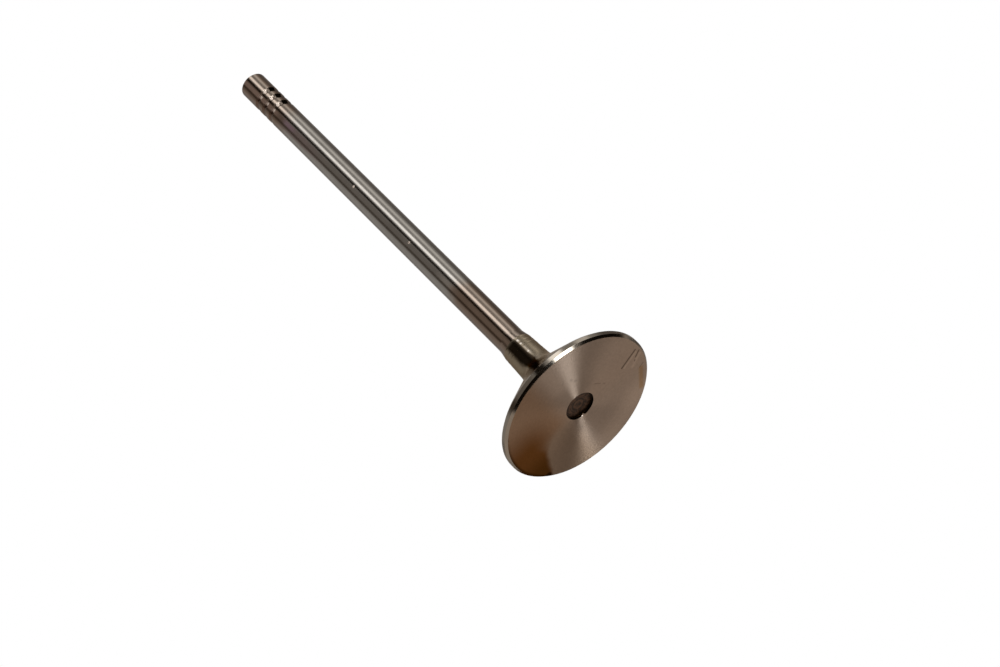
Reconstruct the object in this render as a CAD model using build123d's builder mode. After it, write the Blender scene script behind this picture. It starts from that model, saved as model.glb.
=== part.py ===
from build123d import *
import math
import os

# Engine valve, forged and turned in one piece. It stands on its head: the face
# of the head lies on Z = 0, centred on the origin, and the stem points up +Z.
# Lengths are in millimetres and angles in degrees.

# Overall
overall_length = 160.5
stem_diameter = 8.0

# Head, from the face upwards
head_diameter = 45.6
face_bevel_width = 0.6
face_bevel_height = 0.7
margin_height = 1.2
seat_angle = 45.0
seat_width = 1.0
back_angle = 38.5

# Shallow dimple, struck a little off the middle of the face
dimple_diameter = 8.58
dimple_depth = 0.8
dimple_shift_x = 0.57
dimple_shift_y = 0.1
dimple_floor_fillet = 0.3
dimple_rim_fillet = 0.12

# Neck between the head and the ground stem
neck_top_height = 26.8
neck_top_diameter = 8.98
neck_half_angle = 3.2
neck_fillet = 6.0
shoulder_length = 2.8
shoulder_blend = 4.0

# Turning marks left in the top of the neck
mark_count = 3
mark_pitch = 1.5
mark_depth = 0.05
mark_radius = 1.0
mark_setback = 0.45

# Keeper grooves and tip
groove_count = 3
groove_pitch = 3.5
groove_depth = 0.45
groove_radius = 1.25
tip_land = 9.3
tip_chamfer = 0.8

# Radii and heights that follow from the sizes above
stem_radius = stem_diameter / 2
head_radius = head_diameter / 2
neck_top_radius = neck_top_diameter / 2
margin_top = face_bevel_height + margin_height
seat_top = margin_top + seat_width * math.tan(math.radians(seat_angle))
seat_inner_radius = head_radius - seat_width
shoulder_top = neck_top_height + shoulder_length

# The cone behind the head meets the tapered neck at the neck's root
back_slope = math.tan(math.radians(back_angle))
neck_slope = math.tan(math.radians(neck_half_angle))
neck_root_radius = (
    neck_top_radius
    + neck_slope * (neck_top_height - seat_top - back_slope * seat_inner_radius)
) / (1 - neck_slope * back_slope)
neck_root = (neck_root_radius, seat_top + back_slope * (seat_inner_radius - neck_root_radius))


def neck_radius(height):
    """Radius of the tapered neck at a height above the face."""
    return neck_top_radius + neck_slope * (neck_top_height - height)


with BuildPart() as valve:
    # Half section of the turned blank, head to tip
    with BuildSketch(Plane.XZ) as blank:
        with BuildLine():
            Polyline(
                (0, 0),
                (head_radius - face_bevel_width, 0),
                (head_radius, face_bevel_height),
                (head_radius, margin_top),
                (seat_inner_radius, seat_top),
                neck_root,
                (neck_top_radius, neck_top_height),
                (stem_radius, shoulder_top),
                (stem_radius, overall_length),
                (0, overall_length),
                close=True,
            )
        make_face()
        # Sweep of the back of the head into the neck
        fillet(blank.vertices().sort_by_distance(neck_root)[0], neck_fillet)
        # Soft start of the ground stem
        fillet(blank.vertices().sort_by_distance((stem_radius, shoulder_top))[0], shoulder_blend)
        # Broken edge round the tip
        chamfer(blank.vertices().sort_by_distance((stem_radius, overall_length))[0], tip_chamfer)
    revolve(axis=Axis.Z)

    # Round-bottomed grooves for the keepers
    with BuildSketch(Plane.XZ) as keeper_grooves:
        first_groove = overall_length - tip_land
        for index in range(groove_count):
            centre_radius = stem_radius - groove_depth + groove_radius
            with Locations((centre_radius, first_groove - index * groove_pitch)):
                Circle(groove_radius)
    revolve(axis=Axis.Z, mode=Mode.SUBTRACT)

    # Turning marks below the shoulder
    with BuildSketch(Plane.XZ) as turning_marks:
        for index in range(mark_count):
            height = neck_top_height - mark_setback - index * mark_pitch
            with Locations((neck_radius(height) - mark_depth + mark_radius, height)):
                Circle(mark_radius)
    revolve(axis=Axis.Z, mode=Mode.SUBTRACT)

    # Dimple in the face
    with BuildSketch(Plane.XY) as dimple:
        with Locations((dimple_shift_x, dimple_shift_y)):
            Circle(dimple_diameter / 2)
    extrude(amount=dimple_depth, mode=Mode.SUBTRACT)
    dimple_edges = valve.edges(Select.LAST).filter_by(GeomType.CIRCLE).sort_by(Axis.Z)
    fillet(dimple_edges[-1], dimple_floor_fillet)
    dimple_rim = valve.edges().filter_by(GeomType.CIRCLE).group_by(Axis.Z)[0].sort_by(SortBy.RADIUS)[0]
    fillet(dimple_rim, dimple_rim_fillet)

valve.part.label = "valve"
os.makedirs("parts", exist_ok=True)
export_step(valve.part, "parts/valve.step")
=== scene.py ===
"""Engine valve on its head: camera, studio, floor, lathe mesh and steel finishes."""

import math

import bpy
import numpy as np
from mathutils import Matrix, Vector


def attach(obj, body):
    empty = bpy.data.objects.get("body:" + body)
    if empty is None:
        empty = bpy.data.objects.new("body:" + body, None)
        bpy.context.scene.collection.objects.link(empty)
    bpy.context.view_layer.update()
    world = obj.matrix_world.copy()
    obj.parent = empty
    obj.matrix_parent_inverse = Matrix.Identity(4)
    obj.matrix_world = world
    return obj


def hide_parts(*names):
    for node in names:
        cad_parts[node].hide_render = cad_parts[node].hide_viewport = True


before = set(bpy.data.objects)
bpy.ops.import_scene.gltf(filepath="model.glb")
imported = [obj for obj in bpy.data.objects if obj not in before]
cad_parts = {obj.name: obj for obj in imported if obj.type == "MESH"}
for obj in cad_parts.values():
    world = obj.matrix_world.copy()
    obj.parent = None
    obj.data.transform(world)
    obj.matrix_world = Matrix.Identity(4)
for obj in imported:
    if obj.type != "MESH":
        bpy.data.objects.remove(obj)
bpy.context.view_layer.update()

MM = 0.001


# ---------------------------------------------------------------- camera
# The camera looks up at the head's face from below the level it stands on.
SENSOR_WIDTH = 36.0
FOCAL_LENGTH = 103.86
CLIP_NEAR = 0.01
CLIP_FAR = 50.0
CAMERA_DISTANCE = 744.85 * MM
CAMERA_ELEVATION = math.radians(-33.8)
VIEW_RIGHT = Vector((0.7043, 0.4169, -0.5742))
VIEW_FORWARD = Vector((-0.0009, 0.8099, 0.5871))


def make_camera():
    data = bpy.data.cameras.new("camera")
    data.sensor_width = SENSOR_WIDTH
    data.lens = FOCAL_LENGTH
    data.clip_start = CLIP_NEAR
    data.clip_end = CLIP_FAR
    camera = bpy.data.objects.new("camera", data)
    bpy.context.scene.collection.objects.link(camera)
    back = -VIEW_FORWARD.normalized()
    right = (VIEW_RIGHT - back * VIEW_RIGHT.dot(back)).normalized()
    up = back.cross(right)
    turn = Matrix((right, up, back)).transposed()
    place = CAMERA_DISTANCE * Vector((0, -math.cos(CAMERA_ELEVATION), math.sin(CAMERA_ELEVATION)))
    camera.matrix_world = Matrix.Translation(place) @ turn.to_4x4()
    bpy.context.scene.camera = camera


# ---------------------------------------------------------------- node wiring
# Places of the colour sockets in a mix node
MIX_FIRST, MIX_SECOND, MIX_RESULT = 6, 7, 2


class Graph:
    """Short forms for wiring one node tree."""

    def __init__(self, tree):
        self.tree = tree
        tree.nodes.clear()

    def node(self, kind, **settings):
        made = self.tree.nodes.new(kind)
        for key, value in settings.items():
            setattr(made, key, value)
        return made

    def put(self, socket, value):
        if isinstance(value, bpy.types.NodeSocket):
            self.tree.links.new(value, socket)
        elif isinstance(value, (tuple, list)) and socket.type == "RGBA":
            socket.default_value = (*value, 1.0)[:4]
        else:
            socket.default_value = value

    def math(self, operation, *values, clamp=False):
        made = self.node("ShaderNodeMath", operation=operation, use_clamp=clamp)
        for socket, value in zip(made.inputs, values):
            self.put(socket, value)
        return made.outputs[0]

    def times(self, first, *others):
        """The product of several values."""
        for value in others:
            first = self.math("MULTIPLY", first, value)
        return first

    def vector(self, operation, *values, out="Vector"):
        made = self.node("ShaderNodeVectorMath", operation=operation)
        for socket, value in zip(made.inputs, values):
            self.put(socket, value)
        return made.outputs[out]

    def split(self, vector):
        made = self.node("ShaderNodeSeparateXYZ")
        self.put(made.inputs[0], vector)
        return made.outputs

    def join(self, x, y, z):
        made = self.node("ShaderNodeCombineXYZ")
        for socket, value in zip(made.inputs, (x, y, z)):
            self.put(socket, value)
        return made.outputs[0]

    def distance(self, place, spot):
        return self.vector("DISTANCE", place, spot, out="Value")

    def step(self, value, start, end):
        """0 before start, 1 after end, smooth between; start may be above end."""
        made = self.node("ShaderNodeMapRange", interpolation_type="SMOOTHSTEP")
        rising = end > start
        low, high = (start, end) if rising else (end, start)
        self.put(made.inputs["Value"], value)
        self.put(made.inputs["From Min"], low)
        self.put(made.inputs["From Max"], high)
        self.put(made.inputs["To Min"], 0.0 if rising else 1.0)
        self.put(made.inputs["To Max"], 1.0 if rising else 0.0)
        return made.outputs["Result"]

    def band(self, value, begin, full, fade, end):
        """1 from full to fade, 0 outside begin and end, smooth between."""
        return self.times(self.step(value, begin, full), self.step(value, end, fade))

    def mix(self, factor, first, second, how="MIX"):
        made = self.node("ShaderNodeMix", data_type="RGBA", blend_type=how)
        self.put(made.inputs["Factor"], factor)
        self.put(made.inputs[MIX_FIRST], first)
        self.put(made.inputs[MIX_SECOND], second)
        return made.outputs[MIX_RESULT]

    def noise(self, vector, scale, detail=2.0, roughness=0.5):
        made = self.node("ShaderNodeTexNoise")
        self.put(made.inputs["Vector"], vector)
        made.inputs["Scale"].default_value = scale
        made.inputs["Detail"].default_value = detail
        made.inputs["Roughness"].default_value = roughness
        return made.outputs[0]

    def around(self, value, spread):
        """A noise value from 0 to 1 turned into a factor about 1."""
        return self.math("MULTIPLY_ADD", value, 2 * spread, 1 - spread)

    def gain(self, mark, amount):
        """A factor of 1 where mark is 0 and of 1 + amount where mark is 1."""
        return self.math("MULTIPLY_ADD", mark, amount, 1.0)

    def bump(self, height, distance, strength):
        made = self.node("ShaderNodeBump")
        made.inputs["Strength"].default_value = strength
        made.inputs["Distance"].default_value = distance
        self.put(made.inputs["Height"], height)
        return made.outputs[0]


# ---------------------------------------------------------------- studio
# Soft panels and flags round the valve, each placed by direction in degrees: azimuth,
# half width and softness, then lowest and highest elevation and softness, then the
# colour of its light. Azimuth 0 is the camera's side and 90 is +X. Each panel covers
# the ones above it in the list. They hide most of the white background from the metal,
# and the camera sees the background plain.
WHITE = (1.0, 1.0, 1.0)
PANELS = (
    ("grey_wall", 0, 200, 5, -3, 68, 6, (0.70, 0.66, 0.61)),
    ("warm_table", 0, 200, 5, -100, -4, 3, (0.92, 0.79, 0.68)),
    ("top_card", 0, 80, 10, 66, 100, 5, (0.50, 0.45, 0.40)),
    ("back_card", -165, 43, 7, 8, 58, 5, (0.41, 0.38, 0.355)),
    ("left_shade", -43, 31, 6, -6, 70, 5, (0.40, 0.355, 0.315)),
    ("left_flag", -60, 9, 6, -6, 66, 5, (0.14, 0.11, 0.085)),
    ("right_flag", 124, 28, 10, -6, 57, 4, (0.27, 0.24, 0.215)),
    ("fill_strip", 70, 10, 6, -6, 66, 5, (1.7, 1.62, 1.5)),
    ("low_flag", 28, 96, 4, -62, -8, 5, (0.012, 0.008, 0.005)),
    ("key_window", 27, 9.7, 4, -10, 52, 4, (3.78, 3.68, 3.54)),
    ("low_edge", 60, 4, 5, -56, -16, 5, (0.55, 0.48, 0.42)),
    ("low_window", 38.7, 14.5, 3, -56, -16, 5, (11.7, 11.7, 11.4)),
    ("fill_trim", 52, 9, 3, 47, 72, 3, (0.34, 0.32, 0.29)),
    ("key_trim", 12, 9.5, 2.5, 46, 72, 3, (0.02, 0.013, 0.008)),
    ("key_end", 31, 9.5, 3, 47, 65, 3, (3.4, 3.3, 3.15)),
    ("camera_flag", 0, 9, 3, -62, 70, 3, (0.02, 0.013, 0.008)),
    ("high_flag", -10, 30, 8, 70.0, 100, 4, (0.03, 0.022, 0.015)),
)
LIGHT_MAP_SIZE = 2048


def panel_cover(g, level, elevation, azimuth, half, soft, low, high, fade):
    """1 in the directions that one panel fills and 0 elsewhere."""
    a = math.radians(azimuth)
    toward = (math.sin(a), -math.cos(a), 0.0)
    away = g.math("ARCCOSINE", g.vector("DOT_PRODUCT", level, toward, out="Value"))
    across = g.step(away, math.radians(half + soft), math.radians(half - soft))
    ends = (low - fade, low + fade, high - fade, high + fade)
    return g.times(across, g.band(elevation, *map(math.radians, ends)))


def make_world():
    world = bpy.data.worlds.new("studio")
    bpy.context.scene.world = world
    world.use_nodes = True
    g = Graph(world.node_tree)
    direction = g.node("ShaderNodeTexCoord").outputs["Generated"]
    x, y, z = g.split(direction)
    elevation = g.math("ARCSINE", z)
    level = g.vector("NORMALIZE", g.join(x, y, 0.0))
    light = WHITE
    for _, *shape, colour in PANELS:
        light = g.mix(panel_cover(g, level, elevation, *shape), light, colour)
    seen = g.node("ShaderNodeLightPath").outputs["Is Camera Ray"]
    light = g.mix(seen, light, WHITE)
    shader = g.node("ShaderNodeBackground")
    g.put(shader.inputs["Color"], light)
    out = g.node("ShaderNodeOutputWorld")
    g.put(out.inputs["Surface"], shader.outputs[0])
    world.cycles.sampling_method = "MANUAL"
    world.cycles.sample_map_resolution = LIGHT_MAP_SIZE


# ---------------------------------------------------------------- floor
# Radii in metres. The floor has a hole under the head, lets indirect rays through
# as far as FLOOR_CLEAR, and turns from paint to plain white over FLOOR_FADE.
FLOOR_RADIUS = 4.0
FLOOR_HOLE = 22.0 * MM
FLOOR_CLEAR = 30.0 * MM
FLOOR_RINGS = (FLOOR_HOLE, FLOOR_CLEAR, 0.1, 0.4, FLOOR_RADIUS)
FLOOR_SIDES = 96
FLOOR_FADE = (0.25, 0.9)
FLOOR_COLOUR = (0.88, 0.875, 0.865)
FLOOR_SHEEN = 0.6
FLOOR_GLOW = 0.38


def floor_mesh():
    verts, faces = [], []
    for radius in FLOOR_RINGS:
        for k in range(FLOOR_SIDES):
            a = 2 * math.pi * k / FLOOR_SIDES
            verts.append((radius * math.cos(a), radius * math.sin(a), 0.0))
    for i in range(len(FLOOR_RINGS) - 1):
        near, far = i * FLOOR_SIDES, (i + 1) * FLOOR_SIDES
        for k in range(FLOOR_SIDES):
            j = (k + 1) % FLOOR_SIDES
            faces.append((near + k, far + k, far + j, near + j))
    mesh = bpy.data.meshes.new("floor")
    mesh.from_pydata(verts, [], faces)
    return mesh


def floor_finish():
    material = bpy.data.materials.new("floor")
    material.use_nodes = True
    g = Graph(material.node_tree)
    place = g.node("ShaderNodeTexCoord").outputs["Object"]
    reach = g.vector("LENGTH", place, out="Value")
    path = g.node("ShaderNodeLightPath").outputs
    paint = g.node("ShaderNodeBsdfDiffuse")
    g.put(paint.inputs["Color"], FLOOR_COLOUR)
    white = g.node("ShaderNodeEmission")
    far = g.node("ShaderNodeMixShader")
    glow = g.times(path["Is Camera Ray"], FLOOR_GLOW)
    g.put(far.inputs[0], g.math("MAXIMUM", g.step(reach, *FLOOR_FADE), glow))
    g.put(far.inputs[1], paint.outputs[0])
    g.put(far.inputs[2], white.outputs[0])
    # Seen from below the floor is clear, and close round the rim it lets light
    # and reflections through, so that the face and the bevel show the studio.
    under = g.node("ShaderNodeNewGeometry").outputs["Backfacing"]
    close = g.math("LESS_THAN", reach, FLOOR_CLEAR)
    indirect = g.math("SUBTRACT", 1.0, path["Is Camera Ray"])
    clear = g.math("MAXIMUM", under, g.times(close, indirect))
    clear = g.math("MAXIMUM", clear, g.times(path["Is Glossy Ray"], 1 - FLOOR_SHEEN))
    glass = g.node("ShaderNodeBsdfTransparent")
    shown = g.node("ShaderNodeMixShader")
    g.put(shown.inputs[0], clear)
    g.put(shown.inputs[1], far.outputs[0])
    g.put(shown.inputs[2], glass.outputs[0])
    out = g.node("ShaderNodeOutputMaterial")
    g.put(out.inputs["Surface"], shown.outputs[0])
    return material


def make_floor():
    mesh = floor_mesh()
    mesh.materials.append(floor_finish())
    floor = bpy.data.objects.new("floor", mesh)
    bpy.context.scene.collection.objects.link(floor)


# ---------------------------------------------------------------- finishes
# Colours are linear. Places are in millimetres. Azimuth on the valve is in degrees
# from -Y towards +X. Four values are where a band begins, is full, begins to fade
# and ends. Two values are where a mark is 0 and where it is 1.
# Colour of the painted glints
PAINTED_GLINT = (0.8, 0.72, 0.66)
# A quarter turn, which draws highlights out across a grain that runs round the axis
GRAIN_TURN = 0.25
# Draws noise out round the axis
GRAIN_DRAW = (0.12, 0.12, 1.0)
# Keeps X and Y and drops Z
FLAT = (1, 1, 0)


def steel(name, roughness, anisotropic):
    """A Principled metal whose grain runs round the axis, its graph, its inputs and
    the place on the valve in millimetres."""
    material = bpy.data.materials.new(name)
    material.use_nodes = True
    g = Graph(material.node_tree)
    shader = g.node("ShaderNodeBsdfPrincipled")
    shader.inputs["Metallic"].default_value = 1.0
    shader.inputs["Roughness"].default_value = roughness
    if anisotropic:
        shader.inputs["Anisotropic"].default_value = anisotropic
        shader.inputs["Anisotropic Rotation"].default_value = GRAIN_TURN
        tangent = g.node("ShaderNodeTangent", direction_type="RADIAL", axis="Z")
        g.put(shader.inputs["Tangent"], tangent.outputs[0])
    out = g.node("ShaderNodeOutputMaterial")
    g.put(out.inputs["Surface"], shader.outputs[0])
    place = g.vector("SCALE", g.node("ShaderNodeTexCoord").outputs["Object"])
    place.node.inputs["Scale"].default_value = 1 / MM
    return material, g, shader.inputs, place


def tinted(g, colour, factor):
    """colour, brightened or darkened by a factor about 1."""
    return g.mix(1.0, colour, g.join(factor, factor, factor), "MULTIPLY")


def fine_grain(g, place, pitch):
    """Noise drawn out round the axis, with pitch marks to the millimetre along it."""
    return g.noise(g.vector("MULTIPLY", place, GRAIN_DRAW), pitch, detail=1.0)


def azimuth(g, x, y):
    """Degrees round the axis from -Y towards +X."""
    return g.math("DEGREES", g.math("ARCTAN2", x, g.times(y, -1.0)))


def off_stem(g, around, z, height, turn):
    """Distance over the stem's surface from a spot at a height and an azimuth."""
    sideways = g.times(g.math("SUBTRACT", around, turn), STEM_RADIUS * math.radians(1))
    return g.vector("LENGTH", g.join(sideways, g.math("SUBTRACT", z, height), 0.0), out="Value")


# ---------------------------------------------------------------- ground stem
STEM_RADIUS = 4.0
STEM_ROUGHNESS = 0.2
# Heights of the keeper grooves
GROOVE_HEIGHTS = (144.2, 147.7, 151.2)
STEEL = (0.222, 0.213, 0.202)
BROWNED_STEEL = (0.158, 0.118, 0.093)
BROWNED_BRIGHT = (0.198, 0.165, 0.142)
BROWNED_LIGHTER = (0.235, 0.180, 0.144)
TIP_STEEL = (0.150, 0.108, 0.082)
TIP_BRIGHT = (0.192, 0.161, 0.138)
TIP_LIGHTER = (0.350, 0.262, 0.226)
TIP_SHADE = (0.050, 0.028, 0.014)
PURPLE_TINT = (0.245, 0.205, 0.205)
VIOLET_TINT = (0.315, 0.235, 0.295)
RUST = (0.030, 0.009, 0.004)
# Black of the painted dark reflection in the keeper grooves
GROOVE_DARK_REFLECTION = (0.003, 0.002, 0.001)
# The browned ends, and the sides of the stem on which they are lighter: along the highlight,
# as painted light, on the far flanks, and in a narrow band on the -X side
NECK_END = (59.5, 53.5)
TIP_END = (137.0, 147.0)
END_RAGGED = 8.0
LIT_SIDE = (2.0, 8.0, 36.0, 44.0)
FLANKS = (70.0, 85.0)
LIGHTER_SIDE = (-31.0, -22.0, -11.0, -5.0)
TIP_LIGHTER_START = (139.0, 144.0)
LIGHTER_COVER = 0.8
# Tints towards the tip, and painted shade on one side of it
PURPLE_SIDE = (-50.0, -38.0, -8.0, -3.0)
PURPLE_START = (118.0, 132.0)
VIOLET_PATCH = (131.5, 134.5, 136.5, 139.5)
TINT_COVER = 0.8
SHADED_SIDE = (-52.0, -41.0, -36.0, -30.0)
SHADED_START = (122.0, 134.0)
SHADED_COVER = 0.4
# Painted dark reflection and rust in the keeper grooves, as azimuths and distances from mid groove
GROOVE_DARK_SIDE = (35.0, 40.0, 66.0, 75.0)
GROOVE_DARK_WIDTH = (1.25, 0.95)
RUST_START = (-95.0, -80.0)
RUST_DEEPER = (-44.0, -37.0)
RUST_END = (-22.0, -27.0)
RUST_WIDTH = (1.1, 0.7)
RUST_COVER = 0.35
RUST_DEEPER_COVER = 0.3
# Small differences in brightness: a bright patch, and painted shade that dims the highlight
# streak in places
BRIGHT_PATCH = (51.5, 54.0, 56.5, 62.0)
PATCH_GAIN = 0.45
STREAK = (4.0, 9.0, 16.0, 21.0)
STREAK_END = (142.0, 138.0)
STREAK_SHADE = (66.0, 90.0)
STREAK_SHADE_LOSS = 0.07
STREAK_MORE_SHADE = (112.0, 128.0)
STREAK_MORE_SHADE_LOSS = 0.09
# Height, azimuth and size of each painted glint, two on the stem and the rest in the keeper grooves
STEM_GLINTS = (
    (102.6, -6.3, 0.55),
    (74.7, -8.2, 0.55),
    (150.9, -15.0, 0.80),
    (147.4, -15.0, 0.75),
    (143.9, -15.5, 0.80),
    (151.7, 14.8, 0.62),
    (148.2, 15.2, 0.62),
    (144.6, 15.4, 0.62),
)
GLINT_CORE = 0.4
GLINT_ROUGHER = 0.5


def browned_ends(g, around, z, wander, lightening):
    """The stem's colour: steel, browned at both ends and tinted towards the tip, with painted light
    along the highlight and painted shade on one side near the tip.
    """
    # Painted light: the brown is lighter along the highlight, and also on the far flanks
    lit = g.band(around, *LIT_SIDE)
    lit = g.math("MAXIMUM", lit, g.step(g.math("ABSOLUTE", around), *FLANKS))
    neck_end = g.mix(lit, BROWNED_STEEL, BROWNED_BRIGHT)
    neck_end = g.mix(g.times(lightening, LIGHTER_COVER), neck_end, BROWNED_LIGHTER)
    tip_end = g.mix(lit, TIP_STEEL, TIP_BRIGHT)
    tip_lighter = g.times(lightening, g.step(z, *TIP_LIGHTER_START))
    tip_end = g.mix(g.times(tip_lighter, LIGHTER_COVER), tip_end, TIP_LIGHTER)
    purple = g.times(g.band(around, *PURPLE_SIDE), g.step(wander, *PURPLE_START))
    violet = g.times(g.band(z, *VIOLET_PATCH), lightening)
    shaded = g.times(g.band(around, *SHADED_SIDE), g.step(wander, *SHADED_START))
    colour = g.mix(g.step(wander, *NECK_END), STEEL, neck_end)
    colour = g.mix(g.times(purple, TINT_COVER), colour, PURPLE_TINT)
    colour = g.mix(g.step(wander, *TIP_END), colour, tip_end)
    colour = g.mix(g.times(violet, TINT_COVER), colour, VIOLET_TINT)
    # Painted shade on one side near the tip
    return g.mix(g.times(shaded, SHADED_COVER), colour, TIP_SHADE)


def groove_rust_and_reflection(g, around, z, colour):
    """The colour with rust and a black painted reflection in the keeper grooves, and how metallic
    it stays.
    """
    groove_dark = g.band(around, *GROOVE_DARK_SIDE)
    rust = g.times(g.step(around, *RUST_DEEPER), RUST_DEEPER_COVER)
    rust = g.times(g.math("ADD", rust, RUST_COVER), g.step(around, *RUST_END))
    rust = g.times(rust, g.step(around, *RUST_START))
    metal_share = 1.0
    for height in GROOVE_HEIGHTS:
        away = g.math("ABSOLUTE", g.math("SUBTRACT", z, height))
        colour = g.mix(g.times(g.step(away, *RUST_WIDTH), rust), colour, RUST)
        black = g.times(g.step(away, *GROOVE_DARK_WIDTH), groove_dark)
        metal_share = g.math("SUBTRACT", metal_share, black)
        colour = g.mix(black, colour, GROOVE_DARK_REFLECTION)
    return colour, metal_share


def stem_shade(g, around, z, place, cloud, lightening):
    """A factor about 1: grain, a bright patch and painted shade that dims the highlight streak."""
    grain = fine_grain(g, place, pitch=0.7)
    shade = g.times(g.around(grain, spread=0.06), g.around(cloud, spread=0.12))
    patch = g.times(g.band(z, *BRIGHT_PATCH), lightening)
    shade = g.times(shade, g.gain(patch, PATCH_GAIN))
    # Painted shade along the highlight streak
    streak = g.times(g.band(around, *STREAK), g.step(z, *STREAK_END))
    streak_shade = g.times(g.step(z, *STREAK_SHADE), STREAK_SHADE_LOSS)
    streak_shade = g.math("MULTIPLY_ADD", g.step(z, *STREAK_MORE_SHADE), STREAK_MORE_SHADE_LOSS, streak_shade)
    return g.times(shade, g.math("SUBTRACT", 1.0, g.times(streak, streak_shade)))


def ground_stem():
    material, g, put, place = steel("ground_stem", STEM_ROUGHNESS, anisotropic=0.6)
    x, y, z = g.split(place)
    around = azimuth(g, x, y)
    cloud = g.noise(place, scale=0.16, detail=3.0)
    wander = g.math("MULTIPLY_ADD", cloud, END_RAGGED, z)
    lightening = g.band(around, *LIGHTER_SIDE)
    colour = browned_ends(g, around, z, wander, lightening)
    colour, metal_share = groove_rust_and_reflection(g, around, z, colour)
    colour = tinted(g, colour, stem_shade(g, around, z, place, cloud, lightening))
    rough = STEM_ROUGHNESS
    # Painted glints, on rougher metal
    for height, turn, size in STEM_GLINTS:
        near = g.step(off_stem(g, around, z, height, turn), size, GLINT_CORE * size)
        colour = g.mix(near, colour, PAINTED_GLINT)
        rough = g.math("MULTIPLY_ADD", near, GLINT_ROUGHER, rough)
    g.put(put["Base Color"], colour)
    g.put(put["Roughness"], rough)
    # The painted dark reflection is matt
    g.put(put["Metallic"], metal_share)
    put["Specular IOR Level"].default_value = 0.0
    return material


# ---------------------------------------------------------------- turned face
FACE_STEEL = (0.222, 0.184, 0.156)
FACE_BROWN = (0.188, 0.130, 0.091)
FACE_DIM = (0.162, 0.126, 0.098)
FACE_EDGE_TINT = (0.75, 0.6, 0.5)
BROWN_REFLECTION = (0.084, 0.036, 0.012)
DEEP_BROWN_REFLECTION = (0.055, 0.022, 0.005)
NEAR_BLACK = (0.008, 0.003, 0.001)
YELLOW_TINT = (0.20, 0.125, 0.055)
# Where the face turns from steel to brown, and the brown dims
BROWN_EDGE = (-0.5, -7.5)
DIM_EDGE = (-3.0, 3.0)
# A painted reflection of a brown surface lies on the -X side. Its edge slants, and is sharp
# on one side and soft on the other.
REFLECTION_SLANT = -0.42
REFLECTION_PLACE = 12.1
REFLECTION_BEND = (3.0, -2.0)
REFLECTION_BEND_SIZE = 1.6
REFLECTION_SHARP = 2.1
REFLECTION_SOFTER = 9.9
REFLECTION_SOFT_SIDE = (5.0, -1.0)
REFLECTION_END = (-16.0, -1.0)
REFLECTION_RAGGED = 2.0
# Its deepest part, and the dark line along the very edge
REFLECTION_CORE = (-18.5, 10.5, 0.0)
REFLECTION_CORE_SIZE = (10.0, 2.0)
REFLECTION_CORE_COVER = 0.9
REFLECTION_DARK_EDGE = (21.2, 22.1)
REFLECTION_DARK_EDGE_COVER = 0.75
# Black spot on the edge at the end of the painted brown reflection, and its size on
# the face and the rim
BLACK_SPOT = (-18.0, 12.5, 0.0)
BLACK_ON_FACE = (1.35, 0.6)
BLACK_ON_RIM = (1.6, 0.5)
# Start, end and half width of a yellow-brown tint inside the edge
TINT_LINE = ((18.9, 7.6), (15.6, 14.0), 1.1)
YELLOW_FULL = 0.2
YELLOW_COVER = 0.6
# Painted glint at the edge of the dimple
DIMPLE_GLINT_SPOT = (-0.85, 4.0, 0.0)
DIMPLE_GLINT_SIZE = (0.45, 0.15)
DIMPLE_GLINT_COVER = 0.6
# Start, end, half width and darkening of each scratch and smudge
SCRATCHES = (
    ((20.9, -0.2), (15.1, 1.5), 0.38, 0.62),
    ((21.6, 1.1), (19.7, 2.3), 0.32, 0.6),
    ((19.1, 3.0), (18.8, 3.3), 0.26, 0.5),
    ((20.2, 6.6), (18.6, 7.0), 0.20, 0.4),
    ((3.6, -11.3), (3.7, -11.0), 0.60, 0.2),
    ((4.2, -9.7), (4.4, -9.4), 0.60, 0.2),
    ((1.3, -12.4), (2.1, -13.3), 0.40, 0.15),
    ((7.4, -2.3), (8.4, -0.7), 0.30, 0.25),
    ((9.1, 0.5), (9.2, 0.9), 0.35, 0.2),
)
SCRATCH_CORE = 0.3
# Start, end, half width and gain of each line along which the face is lighter or, where
# the gain is negative, darker: narrow ones are rubbed marks, wide ones painted highlight
# and painted shade on the fans of light
SCUFFS_AND_SHEEN = (
    ((20.6, 0.7), (15.6, 2.3), 0.5, 0.22),
    ((21.2, 2.4), (17.4, 4.4), 0.9, 0.22),
    ((-0.7, 4.9), (0.4, 5.0), 0.5, 0.22),
    ((13.5, 16.5), (1.0, 21.0), 9.0, 0.32),
    ((-0.5, -12.0), (0.0, -20.5), 4.0, 0.20),
    ((10.5, -7.0), (16.0, -9.0), 6.0, 0.10),
    ((-4.1, 11.3), (-6.8, 20.1), 2.8, 0.15),
    ((-2.4, 3.9), (-3.4, 7.5), 1.8, -0.20),
)
# Line and half width of the part of the face that is finely pitted, and how deep it looks
PITTED_LINE = ((-3.5, 9.0), (-6.8, 20.0), 4.5)
PITTED_FULL = 1.0
PITTED_GAIN = 1.3
TURNING_DEPTH = 0.004 * MM


def distance_to_line(g, place, start, end):
    """Distance across the face from a short straight line on it."""
    run = Vector(end) - Vector(start)
    offset = g.vector("SUBTRACT", place, (*start, 0.0))
    along = g.vector("DOT_PRODUCT", offset, (*(run / run.length_squared), 0.0), out="Value")
    along = g.math("ADD", along, 0.0, clamp=True)
    near = g.vector("MULTIPLY", (*run, 0.0), g.join(along, along, 0.0))
    across = g.vector("MULTIPLY", g.vector("SUBTRACT", offset, near), FLAT)
    return g.vector("LENGTH", across, out="Value")


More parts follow.
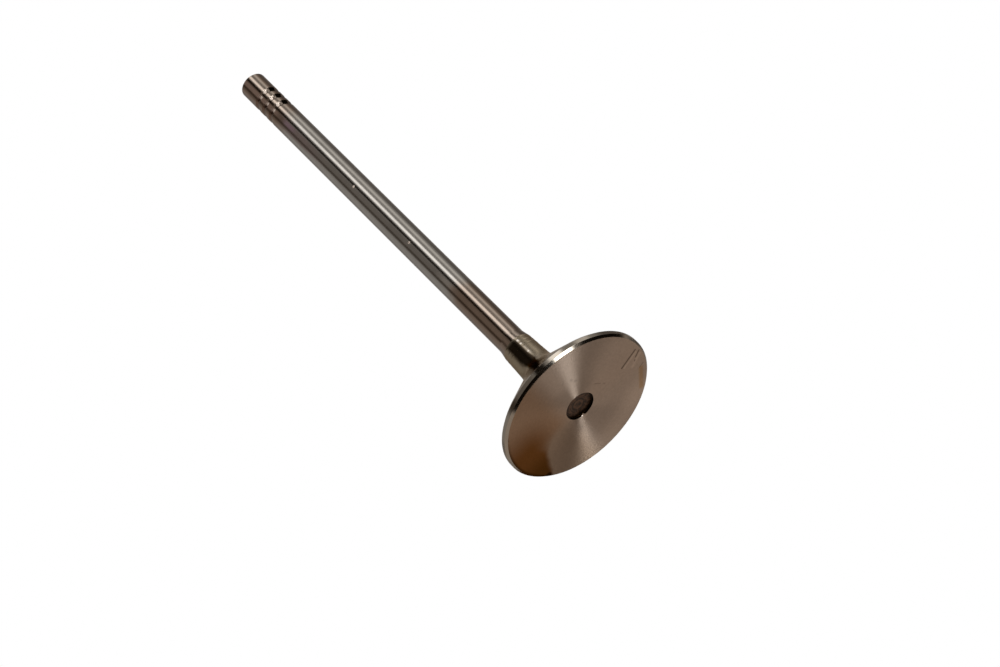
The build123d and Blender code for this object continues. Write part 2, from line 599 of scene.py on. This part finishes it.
def brown_reflection_depth(g, place, wander):
    """1 where the face and the rim have the painted dark brown reflection, 0 elsewhere."""
    x, y, _ = g.split(place)
    depth = g.math("SUBTRACT", g.times(g.math("MAXIMUM", y, 0.0), REFLECTION_SLANT), x)
    depth = g.math("ADD", depth, wander)
    depth = g.math("MULTIPLY_ADD", g.step(y, *REFLECTION_BEND), REFLECTION_BEND_SIZE, depth)
    width = g.math("MULTIPLY_ADD", g.step(y, *REFLECTION_SOFT_SIDE), REFLECTION_SOFTER, REFLECTION_SHARP)
    depth = g.math("DIVIDE", g.math("SUBTRACT", depth, REFLECTION_PLACE), width)
    across = g.math("ADD", depth, 0.5)
    return g.times(g.step(across, 0.0, 1.0), g.step(y, *REFLECTION_END))


def face_colour(g, place, radius, cloud):
    """The face's colour: steel and brown, with the painted brown reflection, its dark edge and a
    yellow tint.
    """
    x, y, _ = g.split(place)
    wander = g.math("MULTIPLY_ADD", cloud, REFLECTION_RAGGED, -REFLECTION_RAGGED / 2)
    brown_reflection = brown_reflection_depth(g, place, wander)
    core = g.step(g.distance(place, REFLECTION_CORE), *REFLECTION_CORE_SIZE)
    brown = g.mix(g.step(y, *DIM_EDGE), FACE_BROWN, FACE_DIM)
    colour = g.mix(g.step(x, *BROWN_EDGE), FACE_STEEL, brown)
    # Painted reflection of a brown surface, deepest in its core and dark along the edge
    colour = g.mix(brown_reflection, colour, BROWN_REFLECTION)
    colour = g.mix(g.times(brown_reflection, core, REFLECTION_CORE_COVER), colour, DEEP_BROWN_REFLECTION)
    edge = g.times(brown_reflection, g.step(radius, *REFLECTION_DARK_EDGE))
    colour = g.mix(g.times(edge, REFLECTION_DARK_EDGE_COVER), colour, NEAR_BLACK)
    colour = g.mix(g.step(g.distance(place, BLACK_SPOT), *BLACK_ON_FACE), colour, NEAR_BLACK)
    start, end, width = TINT_LINE
    tint = g.step(distance_to_line(g, place, start, end), width, YELLOW_FULL)
    return g.mix(g.times(tint, YELLOW_COVER), colour, YELLOW_TINT)


def face_wear_and_sheen(g, place, shade):
    """A brightness factor with the scratches, scuffs, painted highlight and shade and fine pits
    added.
    """
    for start, end, width, loss in SCRATCHES:
        mark = g.step(distance_to_line(g, place, start, end), width, width * SCRATCH_CORE)
        shade = g.times(shade, g.gain(mark, -loss))
    for start, end, width, lightening in SCUFFS_AND_SHEEN:
        mark = g.step(distance_to_line(g, place, start, end), width, 0.0)
        shade = g.times(shade, g.gain(mark, lightening))
    start, end, width = PITTED_LINE
    worn = g.step(distance_to_line(g, place, start, end), width, PITTED_FULL)
    pits = g.math("SUBTRACT", g.noise(place, scale=2.2, detail=3.0, roughness=0.6), 0.5)
    return g.times(shade, g.gain(g.times(pits, worn), PITTED_GAIN))


def turned_face():
    material, g, put, place = steel("turned_face", roughness=0.41, anisotropic=0.98)
    put["Specular Tint"].default_value = (*FACE_EDGE_TINT, 1.0)
    radius = g.vector("LENGTH", g.vector("MULTIPLY", place, FLAT), out="Value")
    rings = g.noise(g.join(radius, 0.0, 0.0), scale=1.4, detail=4.0, roughness=0.7)
    cloud = g.noise(place, scale=0.14, detail=3.0)
    fleck = g.noise(place, scale=1.2, detail=4.0, roughness=0.7)
    shade = g.times(g.around(rings, spread=0.09), g.around(cloud, spread=0.06))
    shade = g.times(shade, g.around(fleck, spread=0.20))
    colour = face_colour(g, place, radius, cloud)
    colour = tinted(g, colour, face_wear_and_sheen(g, place, shade))
    # A painted glint at the edge of the dimple
    dimple_glint = g.step(g.distance(place, DIMPLE_GLINT_SPOT), *DIMPLE_GLINT_SIZE)
    g.put(put["Base Color"], g.mix(g.times(dimple_glint, DIMPLE_GLINT_COVER), colour, PAINTED_GLINT))
    g.put(put["Normal"], g.bump(rings, TURNING_DEPTH, strength=0.4))
    return material


# ---------------------------------------------------------------- dimple
DIMPLE_DARK = (0.010, 0.006, 0.004)
DIMPLE_BROWN = (0.056, 0.031, 0.019)
# Painted shade on the dimple's wall
DIMPLE_WALL_SHADE = (0.006, 0.003, 0.001)
DIMPLE_SHIFT = (0.57, 0.10)
DIMPLE_RADIUS = 4.29
DIMPLE_DEPTH = 0.8
DIMPLE_RINGS = 0.6
DIMPLE_MOTTLE = (0.42, 0.58)
# Where the painted shade of the wall begins
DIMPLE_SHADE_START = (3.75, 4.1)
DIMPLE_PITTING = 0.05 * MM


def dark_dimple():
    material, g, put, place = steel("dimple", roughness=0.45, anisotropic=0.0)
    reach = g.distance(place, (*DIMPLE_SHIFT, DIMPLE_DEPTH))
    speck = g.noise(place, scale=1.1, detail=4.0, roughness=0.6)
    rings = g.noise(g.join(reach, 0.0, 0.0), scale=1.3, roughness=0.6)
    speck = g.math("MULTIPLY_ADD", rings, DIMPLE_RINGS, g.times(speck, 1 - DIMPLE_RINGS))
    colour = g.mix(g.step(speck, *DIMPLE_MOTTLE), DIMPLE_DARK, DIMPLE_BROWN)
    # Painted shade on the wall
    colour = g.mix(g.step(reach, *DIMPLE_SHADE_START), colour, DIMPLE_WALL_SHADE)
    g.put(put["Base Color"], colour)
    g.put(put["Normal"], g.bump(speck, DIMPLE_PITTING, strength=0.5))
    return material


# ---------------------------------------------------------------- rim
RIM_STEEL = (0.206, 0.186, 0.162)
RIM_EDGE_TINT = (0.80, 0.76, 0.71)
# Edge tint, start and mattness of the painted brown reflection on the rim
REFLECTION_EDGE_TINT = (0.18, 0.11, 0.06)
RIM_REFLECTION_START = (0.0, 4.5)
REFLECTION_MATT = 0.45


def bright_rim():
    material, g, put, place = steel("bright_rim", roughness=0.13, anisotropic=0.3)
    cloud = g.noise(place, scale=0.5, detail=3.0)
    _, y, _ = g.split(place)
    # Painted brown reflection and a black spot on the rim
    brown_reflection = g.times(brown_reflection_depth(g, place, 0.0), g.step(y, *RIM_REFLECTION_START))
    black_spot = g.step(g.distance(place, BLACK_SPOT), *BLACK_ON_RIM)
    colour = g.mix(black_spot, g.mix(brown_reflection, RIM_STEEL, BROWN_REFLECTION), NEAR_BLACK)
    g.put(put["Base Color"], tinted(g, colour, g.around(cloud, spread=0.08)))
    g.put(put["Specular Tint"], g.mix(brown_reflection, RIM_EDGE_TINT, REFLECTION_EDGE_TINT))
    # The black spot is matt, and the painted brown reflection partly so
    matt = g.math("MAXIMUM", black_spot, g.times(brown_reflection, REFLECTION_MATT))
    g.put(put["Metallic"], g.math("SUBTRACT", 1.0, matt))
    put["Specular IOR Level"].default_value = 0.0
    return material


# ---------------------------------------------------------------- neck
NECK_STEEL = (0.195, 0.165, 0.125)
NECK_GLINT = (0.37, 0.34, 0.31)
NECK_EDGE_TINT = (0.82, 0.72, 0.62)
ROOT_SHADE = (0.150, 0.124, 0.098)
ROOT_LIT = (0.265, 0.232, 0.190)
# Black of the painted dark reflection, and the edge tints under it and under its foot
DARK_CORE_REFLECTION = (0.012, 0.008, 0.005)
DARK_CORE_EDGE_TINT = (0.52, 0.44, 0.36)
FOOT_EDGE_TINT = (0.20, 0.13, 0.09)
# Painted shade towards the head, with painted light on one side
ROOT_HEIGHT = (19.2, 15.5)
ROOT_SIDE = (0.0, 18.0)
# Painted light a little to the right of the highlight, and painted shade beside it
PAINTED_LIGHT_SIDE = (36.0, 44.0, 70.0, 90.0)
PAINTED_LIGHT_GAIN = 0.2
MORE_LIGHT_SIDE = (42.0, 52.0)
MORE_LIGHT_GAIN = 0.3
PAINTED_SHADE_SIDE = (0.0, 6.0, 32.0, 38.0)
PAINTED_SHADE_GAIN = -0.25
# A painted glint down the highlight, stronger below the turning marks
GLINT_SIDE = (12.5, 17.0, 20.5, 25.5)
GLINT_START = (18.8, 20.0)
GLINT_STRONG = (23.0, 22.3)
GLINT_COVER = 0.06
GLINT_STRONG_COVER = 0.17
# Height, azimuth and size of each painted glint between the turning marks
NECK_GLINT_SPOTS = (
    (27.1, 13.5, 0.50),
    (25.5, 16.3, 0.58),
    (24.1, 16.3, 0.45),
    (20.6, 16.0, 0.40),
)
GLINT_SPOT_CORE = 0.3
# Painted dark reflection on the camera's side. Its left border is ragged and slants in
# towards the head, and its right border bulges out near the root.
DARK_CORE_RAGGED = 14.0
DARK_CORE_SLANT_TOP = 19.5
DARK_CORE_SLANT = -3.0
DARK_CORE_LEFT = (-33.0, -22.0)
DARK_CORE_RIGHT = (16.8, 8.8)
DARK_CORE_BULGE_TOP = (20.5, 18.2)
DARK_CORE_BULGE_FOOT = (16.2, 17.6)
DARK_CORE_BULGE = -3.5
DARK_CORE_TOP = (27.4, 25.6)
DARK_CORE_BOTTOM = (7.0, 10.0)
DARK_CORE_COVER = 0.97
# Half width, place across the back of the head and top of the painted reflection's foot
FOOT_WIDTH = (1.9, 0.5)
FOOT_START = (-5.0, -7.0)
FOOT_TOP = (15.0, 12.5)


def neck_shade(g, around, place, cloud):
    """A factor about 1: mottling, grain, and painted light and shade beside the highlight."""
    grain = fine_grain(g, place, pitch=1.0)
    painted_light = g.gain(g.band(around, *PAINTED_LIGHT_SIDE), PAINTED_LIGHT_GAIN)
    painted_light = g.math("MULTIPLY_ADD", g.step(around, *MORE_LIGHT_SIDE), MORE_LIGHT_GAIN, painted_light)
    painted_light = g.math("MULTIPLY_ADD", g.band(around, *PAINTED_SHADE_SIDE), PAINTED_SHADE_GAIN, painted_light)
    return g.times(g.around(cloud, spread=0.18), g.around(grain, spread=0.06), painted_light)


def neck_glints(g, around, z, colour):
    """The colour with painted highlights: a glint down the highlight and spots between the turning
    marks.
    """
    cover = g.math("MULTIPLY_ADD", g.step(z, *GLINT_STRONG), GLINT_STRONG_COVER, GLINT_COVER)
    streak = g.times(g.band(around, *GLINT_SIDE), g.step(z, *GLINT_START), cover)
    colour = g.mix(streak, colour, NECK_GLINT)
    for height, turn, size in NECK_GLINT_SPOTS:
        away = off_stem(g, around, z, height, turn)
        colour = g.mix(g.step(away, size, GLINT_SPOT_CORE * size), colour, NECK_GLINT)
    return colour


def dark_core_cover(g, around, z, cloud):
    """1 where the neck has the painted dark reflection and 0 elsewhere."""
    ragged = g.math("MULTIPLY_ADD", cloud, DARK_CORE_RAGGED, g.math("SUBTRACT", around, DARK_CORE_RAGGED / 2))
    below = g.math("MAXIMUM", g.math("SUBTRACT", DARK_CORE_SLANT_TOP, z), 0.0)
    left = g.math("MULTIPLY_ADD", below, DARK_CORE_SLANT, ragged)
    bulge = g.times(g.step(z, *DARK_CORE_BULGE_TOP), g.step(z, *DARK_CORE_BULGE_FOOT))
    right = g.math("MULTIPLY_ADD", bulge, DARK_CORE_BULGE, around)
    dark_core = g.times(g.step(left, *DARK_CORE_LEFT), g.step(right, *DARK_CORE_RIGHT))
    return g.times(dark_core, g.step(z, *DARK_CORE_TOP), g.step(z, *DARK_CORE_BOTTOM), DARK_CORE_COVER)


def neck_finish():
    material, g, put, place = steel("neck_finish", roughness=0.30, anisotropic=0.3)
    x, y, z = g.split(place)
    around = azimuth(g, x, y)
    cloud = g.noise(place, scale=0.35, detail=4.0, roughness=0.6)
    # Painted shade at the root, lit on one side
    root = g.mix(g.step(around, *ROOT_SIDE), ROOT_SHADE, ROOT_LIT)
    colour = g.mix(g.step(z, *ROOT_HEIGHT), NECK_STEEL, root)
    colour = tinted(g, colour, neck_shade(g, around, place, cloud))
    colour = neck_glints(g, around, z, colour)
    # Painted dark reflection down the camera's side of the neck, with a narrow foot on the head
    dark_core = dark_core_cover(g, around, z, cloud)
    foot = g.times(g.step(g.math("ABSOLUTE", x), *FOOT_WIDTH), g.step(y, *FOOT_START))
    foot = g.times(foot, g.step(z, *FOOT_TOP))
    tint = g.mix(dark_core, NECK_EDGE_TINT, DARK_CORE_EDGE_TINT)
    g.put(put["Specular Tint"], g.mix(foot, tint, FOOT_EDGE_TINT))
    g.put(put["Base Color"], g.mix(foot, g.mix(dark_core, colour, DARK_CORE_REFLECTION), DARK_CORE_REFLECTION))
    return material


# ---------------------------------------------------------------- lathe mesh
# The half section in millimetres, with the dimple's sizes from above. The mesh is
# lathed a little inside the solid.
SEGMENTS = 240
SKIN = 0.9992
FACE_RADIUS = 22.2
HEAD_RADIUS = 22.8
MARGIN_FOOT = 0.7
MARGIN_TOP = 1.9
SEAT_TOP = (21.8, 2.9)
BACK_SLOPE = math.tan(math.radians(38.5))
NECK_SLOPE = math.tan(math.radians(3.2))
NECK_TOP = (4.49, 26.8)
STEM_START = 29.6
CHAMFER_START = 159.7
TIP_RADIUS = 3.2
VALVE_LENGTH = 160.5
# Heights of the neck's turning marks, then depth, bottom radius and edge blend of
# each kind of groove
NECK_MARKS = (23.35, 24.85, 26.35)
NECK_MARK_SHAPE = (0.05, 1.0, 0.05)
KEEPER_GROOVE_SHAPE = (0.45, 1.25, 0.12)
# Blend radii of the other corners
DIMPLE_FOOT_BLEND = 0.3
DIMPLE_LIP_BLEND = 0.12
FACE_BLEND = 0.06
BEVEL_BLEND = 0.10
MARGIN_BLEND = 0.08
SEAT_BLEND = 0.25
ROOT_BLEND = 6.0
NECK_TOP_BLEND = 0.3
STEM_START_BLEND = 4.0
TIP_BLEND = 0.25
# Steps of the mesh round a blend, and along straight runs and the dimple's floor
ARC_STEP = math.radians(9)
LONG_RUN = 5.0
FINE_RUN = 0.4
# Inside this radius the face's rings are off centre with the dimple
FACE_START = 8.0
# Rows nearer to the ground than this belong to the front of the head
FRONT_HEIGHT = DIMPLE_DEPTH + 0.1
# The dimple's struck edge: how far it reaches, how uneven it is, and the size, number
# and phase of each of its waves
LIP_REACH = 0.35
LIP_WAVER = 0.06
LIP_WAVES = ((0.5, 3, 1.0), (0.3, 7, 2.0), (0.2, 13, 0.0))
# A tongue of metal stands in over the edge
TONGUE_PLACE = math.radians(104)
TONGUE_WIDTH = math.radians(6)
TONGUE_LENGTH = 0.95
TONGUE_THICKNESS = 0.5
# Pits in the dimple's floor: depth, and waves in X and Y with a phase
PIT_DEPTH = 0.004
PIT_WAVES = ((3.1, 1.7, 0.0), (-2.2, 5.3, 1.0), (7.7, 4.9, 2.0))
PIT_MARGIN = 0.35
ZONES = ("face", "dimple", "rim", "neck", "stem")
TINY = 1e-12


def neck_root():
    """Where the cone behind the head would meet the tapered neck."""
    gap = NECK_TOP[1] - SEAT_TOP[1]
    level = NECK_TOP[0] + NECK_SLOPE * (gap - BACK_SLOPE * SEAT_TOP[0])
    radius = level / (1 - NECK_SLOPE * BACK_SLOPE)
    return radius, SEAT_TOP[1] + BACK_SLOPE * (SEAT_TOP[0] - radius)


def groove(height, surface, shape, zone):
    """Corners of a round-bottomed groove: its bottom arc is the middle corner's blend."""
    depth, radius, edge = shape
    cos_half = (radius - depth) / radius
    half = math.acos(cos_half)
    tight = radius - edge
    reach = depth + tight * (1 / cos_half - 1)
    width = reach / math.tan(half)
    return [
        (surface, height - width, edge, zone),
        (surface - reach, height, tight, zone),
        (surface, height + width, edge, zone),
    ]


def corners():
    """(radius, height, blend radius, zone after it), from the dimple to the tip."""
    made = [
        (0.0, DIMPLE_DEPTH, 0.0, "dimple"),
        (DIMPLE_RADIUS, DIMPLE_DEPTH, DIMPLE_FOOT_BLEND, "dimple"),
        (DIMPLE_RADIUS, 0.0, DIMPLE_LIP_BLEND, "face"),
        (FACE_RADIUS, 0.0, FACE_BLEND, "rim"),
        (HEAD_RADIUS, MARGIN_FOOT, BEVEL_BLEND, "rim"),
        (HEAD_RADIUS, MARGIN_TOP, MARGIN_BLEND, "rim"),
        (*SEAT_TOP, SEAT_BLEND, "neck"),
        (*neck_root(), ROOT_BLEND, "neck"),
    ]
    for height in NECK_MARKS:
        surface = NECK_TOP[0] + NECK_SLOPE * (NECK_TOP[1] - height)
        made += groove(height, surface, NECK_MARK_SHAPE, "neck")
    made += [
        (*NECK_TOP, NECK_TOP_BLEND, "stem"),
        (STEM_RADIUS, STEM_START, STEM_START_BLEND, "stem"),
    ]
    for height in GROOVE_HEIGHTS:
        made += groove(height, STEM_RADIUS, KEEPER_GROOVE_SHAPE, "stem")
    made += [
        (STEM_RADIUS, CHAMFER_START, TIP_BLEND, "stem"),
        (TIP_RADIUS, VALVE_LENGTH, TIP_BLEND, "stem"),
        (0.0, VALVE_LENGTH, 0.0, "stem"),
    ]
    return made


def profile():
    """Rows of the half section: (radius, height, normal radius, normal height, zone after it)."""
    points = corners()
    rows = []
    for i, (r, z, blend, zone) in enumerate(points):
        here = Vector((r, z))
        before = Vector(points[max(i - 1, 0)][:2])
        after = Vector(points[min(i + 1, len(points) - 1)][:2])
        if here in (before, after):
            run = (after - before).normalized()
            rows.append((r, z, run.y, -run.x, zone))
            continue
        arrive = (here - before).normalized()
        leave = (after - here).normalized()
        turn = math.atan2(arrive.x * leave.y - arrive.y * leave.x, arrive.dot(leave))
        # The blend's centre is inside the metal where the corner sticks out
        bulge = blend if turn > 0 else -blend
        start = here - arrive * blend * math.tan(abs(turn) / 2)
        hub = start - Vector((arrive.y, -arrive.x)) * bulge
        steps = max(3, math.ceil(abs(turn) / ARC_STEP))
        for k in range(steps + 1):
            run = Matrix.Rotation(turn * k / steps, 2) @ arrive
            normal = Vector((run.y, -run.x))
            spot = hub + normal * bulge
            rows.append((*spot, *normal, zone if 2 * k > steps else points[i - 1][3]))
    return rows


def refined(rows):
    """The same rows, with more of them along the long straight runs."""
    made = []
    for row, after in zip(rows, rows[1:]):
        made.append(row)
        length = math.hypot(after[0] - row[0], after[1] - row[1])
        parts = max(1, round(length / (FINE_RUN if row[4] == "dimple" else LONG_RUN)))
        for k in range(1, parts):
            share = k / parts
            middle = [a + (b - a) * share for a, b in zip(row[:2], after[:2])]
            made.append((*middle, *row[2:4], row[4]))
    return made + [rows[-1]]


def lathed(radius, height, zones, turn):
    """Points of every row round the axis, with the dimple off centre and uneven."""
    in_dimple = zones == "dimple"
    blended = np.clip((FACE_START - radius) / (FACE_START - DIMPLE_RADIUS), 0, 1)
    shift = np.where(zones == "face", blended, np.where(in_dimple, 1.0, 0.0))[:, None]
    middle = (height < FRONT_HEIGHT) & (radius < FACE_START)
    lip = np.exp(-(((radius - DIMPLE_RADIUS) / LIP_REACH) ** 2)) * middle
    waver = sum(size * np.sin(count * turn + phase) for size, count, phase in LIP_WAVES)
    tongue = np.exp(-(((turn - TONGUE_PLACE) / TONGUE_WIDTH) ** 2))
    low = lip * np.clip(1 - height / TONGUE_THICKNESS, 0, 1)
    reach = radius[:, None] + LIP_WAVER * lip[:, None] * waver
    reach = SKIN * (reach - TONGUE_LENGTH * low[:, None] * tongue)
    x = SKIN * DIMPLE_SHIFT[0] * shift + reach * np.cos(turn)
    y = SKIN * DIMPLE_SHIFT[1] * shift + reach * np.sin(turn)
    pits = sum(np.sin(along * x + across * y + phase) for along, across, phase in PIT_WAVES)
    floor = in_dimple & (radius < DIMPLE_RADIUS - PIT_MARGIN)
    z = np.repeat(height[:, None], SEGMENTS, 1) + PIT_DEPTH * pits * floor[:, None]
    return np.stack([x, y, z], -1)


def smooth_normals(place, across, along, zones, turn):
    """The section's own normals turned round the axis, and the mesh's own in the dimple."""
    normal = np.stack([
        across[:, None] * np.cos(turn),
        across[:, None] * np.sin(turn),
        np.repeat(along[:, None], SEGMENTS, 1),
    ], -1)
    down = np.gradient(place, axis=0)
    round_about = np.roll(place, -1, 1) - np.roll(place, 1, 1)
    worked = np.cross(round_about, down)
    worked /= np.maximum(np.linalg.norm(worked, axis=2, keepdims=True), TINY)
    return np.where((zones == "dimple")[:, None, None], worked, normal)


def lathe_faces(rings, zones):
    """Faces over the rings between two points on the axis, and the zone of each."""
    faces, marks = [], []
    last = 1 + rings * SEGMENTS
    end = last - SEGMENTS
    for k in range(SEGMENTS):
        j = (k + 1) % SEGMENTS
        faces.append((0, 1 + j, 1 + k))
        marks.append(ZONES.index(zones[0]))
        for i in range(rings - 1):
            near, far = 1 + i * SEGMENTS, 1 + (i + 1) * SEGMENTS
            faces.append((near + k, near + j, far + j, far + k))
            marks.append(ZONES.index(zones[i + 1]))
        faces.append((end + k, end + j, last))
        marks.append(ZONES.index(zones[-1]))
    return faces, marks


def valve_mesh():
    rows = refined(profile())
    radius, height, across, along = np.array([row[:4] for row in rows]).T
    zones = np.array([row[4] for row in rows])
    turn = np.arange(SEGMENTS) * 2 * math.pi / SEGMENTS
    place = lathed(radius, height, zones, turn)
    normal = smooth_normals(place, across, along, zones, turn)
    # The first and last rows are single points on the axis
    verts = [place[0].mean(0), *place[1:-1].reshape(-1, 3), place[-1].mean(0)]
    normals = [(0, 0, -1), *normal[1:-1].reshape(-1, 3), (0, 0, 1)]
    faces, marks = lathe_faces(len(rows) - 2, zones)
    mesh = bpy.data.meshes.new("valve_body")
    mesh.from_pydata([tuple(MM * c for c in v) for v in verts], [], faces)
    for material in (turned_face(), dark_dimple(), bright_rim(), neck_finish(), ground_stem()):
        mesh.materials.append(material)
    mesh.polygons.foreach_set("material_index", marks)
    mesh.polygons.foreach_set("use_smooth", [True] * len(faces))
    mesh.validate()
    mesh.normals_split_custom_set_from_vertices([tuple(n) for n in normals])
    return mesh


def make_valve():
    valve = bpy.data.objects.new("valve_body", valve_mesh())
    bpy.context.scene.collection.objects.link(valve)
    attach(valve, "root")
    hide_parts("valve")


bpy.context.scene.view_settings.view_transform = "Standard"
make_camera()
make_world()
make_floor()
make_valve()
